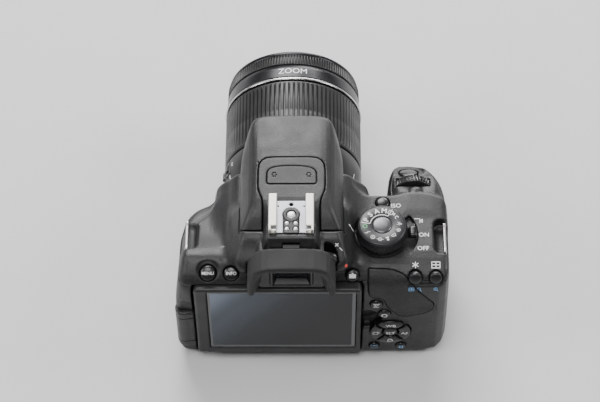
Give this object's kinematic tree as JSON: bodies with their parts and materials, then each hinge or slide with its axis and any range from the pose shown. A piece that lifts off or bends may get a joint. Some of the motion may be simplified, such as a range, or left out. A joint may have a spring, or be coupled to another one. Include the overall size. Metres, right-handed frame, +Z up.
{
  "type": "dslr camera",
  "caption": "Single-lens reflex camera with a side-hinged screen, raised flash housing, accessory shoe, thumb controls, deep grip and a stubby zoom lens.",
  "frame": {"origin": "on the base, under the lens axis and in the plane of the image sensor", "axes": "+X towards the grip side (the viewer's right), +Y the way the lens points, +Z up"},
  "size_m": [0.133, 0.1408, 0.0984],
  "materials": {
    "body_shell": "finely textured matte black",
    "soft_rubber": "grained matte black",
    "control_black": "satin black",
    "barrel_black": "smooth satin black",
    "dial_grey": "satin charcoal with white markings",
    "shoe_steel": "satin plated steel",
    "mount_steel": "polished",
    "lens_glass": "coated",
    "screen_cover": "clear cover over a dark display",
    "circuit_board": "solder mask",
    "cast_alloy": "die cast",
    "mirror_face": "front silvered",
    "brass_thread": "plated"
  },
  "bodies": {
    "camera_body": {"front_cover": "body_shell", "rear_cover": "body_shell", "top_cover": "body_shell", "base_plate": "body_shell", "grip_rubber": "soft_rubber", "thumb_rubber": "soft_rubber", "body_mount_ring": "mount_steel", "mirror_box": "barrel_black", "viewfinder_prism": "lens_glass", "shutter_unit": "cast_alloy", "image_sensor": "cast_alloy", "main_board": "circuit_board", "battery_pack": "barrel_black", "memory_card": "control_black", "tripod_socket": "brass_thread", "hot_shoe_rails": "shoe_steel", "hot_shoe_contacts": "control_black", "microphone_cover": "body_shell", "strap_lug_left": "shoe_steel", "strap_lug_right": "shoe_steel", "eyepiece_lens": "lens_glass"},
    "eyecup": {"eyecup": "soft_rubber"},
    "diopter_dial": {"diopter_dial": "control_black"},
    "screen": {"screen_hinge": "body_shell", "screen_case": "body_shell", "screen_window": "screen_cover"},
    "flash": {"flash_housing": "body_shell", "flash_window": "screen_cover"},
    "mode_dial": {"mode_dial": "dial_grey"},
    "power_lever": {"power_lever": "control_black"},
    "main_dial": {"main_dial": "control_black"},
    "mirror": {"mirror": "mirror_face"},
    "card_door": {"card_door": "body_shell"},
    "battery_door": {"battery_door": "body_shell"},
    "terminal_door": {"terminal_door": "soft_rubber"},
    "lens": {"lens_barrel": "barrel_black"},
    "zoom_ring": {"zoom_ring": "soft_rubber"},
    "front_barrel": {"front_barrel": "barrel_black", "front_element": "lens_glass"},
    "focus_ring": {"focus_ring": "barrel_black"},
    "focus_mode_switch": {"focus_mode_switch": "control_black"},
    "stabiliser_switch": {"stabiliser_switch": "control_black"},
    "menu_button": {"menu_button": "control_black"},
    "info_button": {"info_button": "control_black"},
    "live_view_button": {"live_view_button": "control_black"},
    "ae_lock_button": {"ae_lock_button": "control_black"},
    "af_point_button": {"af_point_button": "control_black"},
    "exposure_button": {"exposure_button": "control_black"},
    "quick_button": {"quick_button": "control_black"},
    "playback_button": {"playback_button": "control_black"},
    "erase_button": {"erase_button": "control_black"},
    "set_button": {"set_button": "control_black"},
    "iso_button": {"iso_button": "control_black"},
    "shutter_button": {"shutter_button": "control_black"},
    "flash_button": {"flash_button": "control_black"},
    "lens_release_button": {"lens_release_button": "control_black"},
    "key_up": {"key_up": "control_black"},
    "key_down": {"key_down": "control_black"},
    "key_left": {"key_left": "control_black"},
    "key_right": {"key_right": "control_black"}
  },
  "joints": [
    {"name": "screen_swing", "type": "hinge", "parent": "camera_body", "child": "screen", "pos_m": [-0.0525, -0.0126, 0.0337], "axis": [0, 0, -1], "range_deg": [0, 175]},
    {"name": "flash_pop", "type": "hinge", "parent": "camera_body", "child": "flash", "pos_m": [0, -0.0005, 0.0836], "axis": [1, 0, 0], "range_deg": [0, 50]},
    {"name": "mode_dial_turn", "type": "hinge", "parent": "camera_body", "child": "mode_dial", "pos_m": [0.043, 0.0105, 0.075], "axis": [0, 0, 1], "continuous": true},
    {"name": "power_lever_turn", "type": "hinge", "parent": "camera_body", "child": "power_lever", "pos_m": [0.043, 0.0105, 0.071], "axis": [0, 0, 1], "range_deg": [-22, 22]},
    {"name": "main_dial_turn", "type": "hinge", "parent": "camera_body", "child": "main_dial", "pos_m": [0.059, 0.0408, 0.0598], "axis": [0, 0.9578, -0.2874], "continuous": true},
    {"name": "diopter_dial_turn", "type": "hinge", "parent": "camera_body", "child": "diopter_dial", "pos_m": [0.016, -0.0095, 0.0784], "axis": [0, 1, 0], "range_deg": [-150, 150]},
    {"name": "eyecup_slide", "type": "slide", "parent": "camera_body", "child": "eyecup", "axis": [0, 0, 1], "range_m": [0, 0.012]},
    {"name": "mirror_flip", "type": "hinge", "parent": "camera_body", "child": "mirror", "pos_m": [0, 0.009, 0.058], "axis": [1, 0, 0], "range_deg": [0, 45], "stiffness_Nm_per_rad": 0.01, "springref_deg": -28.65},
    {"name": "card_door_swing", "type": "hinge", "parent": "camera_body", "child": "card_door", "pos_m": [0.0745, 0.019, 0.035], "axis": [0, 0, 1], "range_deg": [0, 85]},
    {"name": "battery_door_swing", "type": "hinge", "parent": "camera_body", "child": "battery_door", "pos_m": [0.0499, 0.0265, 0.0015], "axis": [0, 1, 0], "range_deg": [0, 90]},
    {"name": "terminal_door_swing", "type": "hinge", "parent": "camera_body", "child": "terminal_door", "pos_m": [-0.0526, 0.0164, 0.027], "axis": [0, 0, -1], "range_deg": [0, 100]},
    {"name": "lens_twist", "type": "hinge", "parent": "camera_body", "child": "lens", "pos_m": [0, 0.044, 0.04], "axis": [0, 1, 0], "range_deg": [0, 60]},
    {"name": "zoom_turn", "type": "hinge", "parent": "lens", "child": "zoom_ring", "pos_m": [0, 0.083, 0.04], "axis": [0, 1, 0], "range_deg": [0, 60]},
    {"name": "zoom_extend", "type": "slide", "parent": "lens", "child": "front_barrel", "axis": [0, 1, 0], "range_m": [0, 0.011]},
    {"name": "focus_turn", "type": "hinge", "parent": "front_barrel", "child": "focus_ring", "pos_m": [0, 0.114, 0.04], "axis": [0, 1, 0], "range_deg": [-45, 45]},
    {"name": "focus_mode_switch_slide", "type": "slide", "parent": "lens", "child": "focus_mode_switch", "axis": [0, 1, 0], "range_m": [-0.0015, 0]},
    {"name": "stabiliser_switch_slide", "type": "slide", "parent": "lens", "child": "stabiliser_switch", "axis": [0, 1, 0], "range_m": [-0.0015, 0]},
    {"name": "menu_button_press", "type": "slide", "parent": "camera_body", "child": "menu_button", "axis": [0, 0.5736, -0.8192], "range_m": [0, 0.0008], "stiffness_N_per_m": 400},
    {"name": "info_button_press", "type": "slide", "parent": "camera_body", "child": "info_button", "axis": [0, 0.5736, -0.8192], "range_m": [0, 0.0008], "stiffness_N_per_m": 400},
    {"name": "live_view_button_press", "type": "slide", "parent": "camera_body", "child": "live_view_button", "axis": [0, 0.7071, -0.7071], "range_m": [0, 0.0008], "stiffness_N_per_m": 400},
    {"name": "ae_lock_button_press", "type": "slide", "parent": "camera_body", "child": "ae_lock_button", "axis": [0, 0.866, -0.5], "range_m": [0, 0.0008], "stiffness_N_per_m": 400},
    {"name": "af_point_button_press", "type": "slide", "parent": "camera_body", "child": "af_point_button", "axis": [0, 0.866, -0.5], "range_m": [0, 0.0008], "stiffness_N_per_m": 400},
    {"name": "exposure_button_press", "type": "slide", "parent": "camera_body", "child": "exposure_button", "axis": [0, 1, 0], "range_m": [0, 0.0008], "stiffness_N_per_m": 400},
    {"name": "quick_button_press", "type": "slide", "parent": "camera_body", "child": "quick_button", "axis": [0, 1, 0], "range_m": [0, 0.0008], "stiffness_N_per_m": 400},
    {"name": "playback_button_press", "type": "slide", "parent": "camera_body", "child": "playback_button", "axis": [0, 1, 0], "range_m": [0, 0.0008], "stiffness_N_per_m": 400},
    {"name": "erase_button_press", "type": "slide", "parent": "camera_body", "child": "erase_button", "axis": [0, 1, 0], "range_m": [0, 0.0008], "stiffness_N_per_m": 400},
    {"name": "set_button_press", "type": "slide", "parent": "camera_body", "child": "set_button", "axis": [0, 1, 0], "range_m": [0, 0.0008], "stiffness_N_per_m": 400},
    {"name": "iso_button_press", "type": "slide", "parent": "camera_body", "child": "iso_button", "axis": [0, 0, -1], "range_m": [0, 0.0008], "stiffness_N_per_m": 400},
    {"name": "shutter_button_press", "type": "slide", "parent": "camera_body", "child": "shutter_button", "axis": [0, -0.5736, -0.8192], "range_m": [0, 0.0015], "stiffness_N_per_m": 400},
    {"name": "flash_button_press", "type": "slide", "parent": "camera_body", "child": "flash_button", "axis": [0, -1, 0], "range_m": [0, 0.0008], "stiffness_N_per_m": 400},
    {"name": "lens_release_button_press", "type": "slide", "parent": "camera_body", "child": "lens_release_button", "axis": [0, -1, 0], "range_m": [0, 0.0008], "stiffness_N_per_m": 400},
    {"name": "key_up_press", "type": "slide", "parent": "camera_body", "child": "key_up", "axis": [0, 1, 0], "range_m": [0, 0.0007], "stiffness_N_per_m": 400},
    {"name": "key_down_press", "type": "slide", "parent": "camera_body", "child": "key_down", "axis": [0, 1, 0], "range_m": [0, 0.0007], "stiffness_N_per_m": 400},
    {"name": "key_left_press", "type": "slide", "parent": "camera_body", "child": "key_left", "axis": [0, 1, 0], "range_m": [0, 0.0007], "stiffness_N_per_m": 400},
    {"name": "key_right_press", "type": "slide", "parent": "camera_body", "child": "key_right", "axis": [0, 1, 0], "range_m": [0, 0.0007], "stiffness_N_per_m": 400}
  ],
  "couplings": [
    {"joint": "zoom_turn", "follows": "zoom_extend", "rad_per_m": 95.19}
  ]
}
